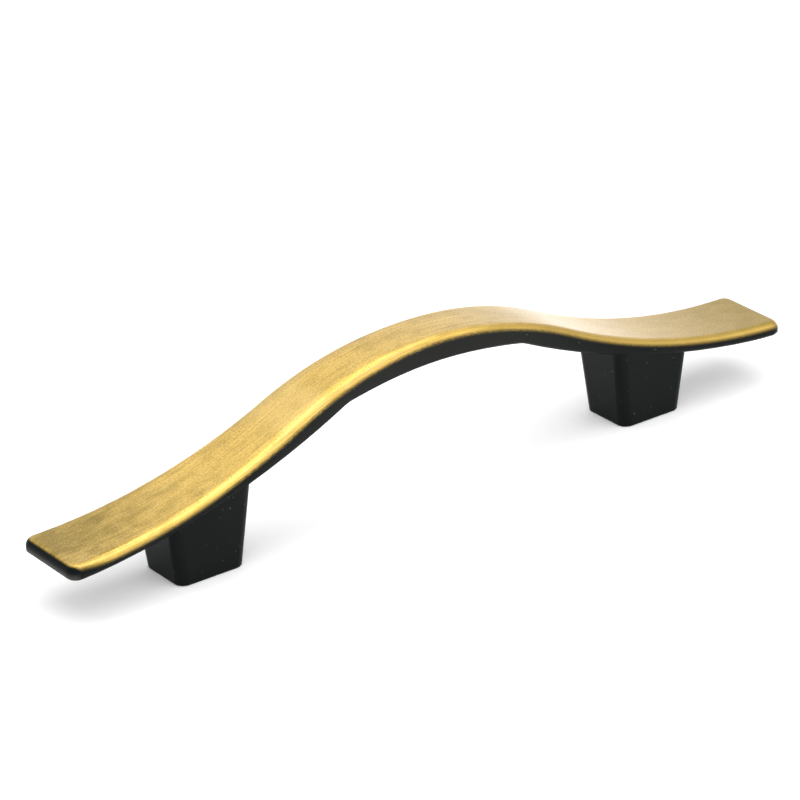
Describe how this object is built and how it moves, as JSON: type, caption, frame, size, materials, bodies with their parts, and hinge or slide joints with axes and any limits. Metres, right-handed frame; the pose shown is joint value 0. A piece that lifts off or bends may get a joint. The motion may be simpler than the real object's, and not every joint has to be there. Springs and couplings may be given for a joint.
{
  "type": "cabinet handle",
  "caption": "Bow-shaped cabinet pull: a waisted wave strap, brushed brass on top and black below, cast in one with tapered screw posts for a door or drawer front.",
  "frame": {"origin": "on the cabinet face, midway between the two screw holes", "axes": "+X along the strap, +Y across it, +Z out of the cabinet face towards the crown of the strap"},
  "size_m": [0.1538, 0.016, 0.03],
  "materials": {
    "plated_casting": "brushed antique brass on the top of the strap, satin black on its sides, underside and posts"
  },
  "bodies": {
    "root": {"handle": "plated_casting"}
  },
  "joints": []
}
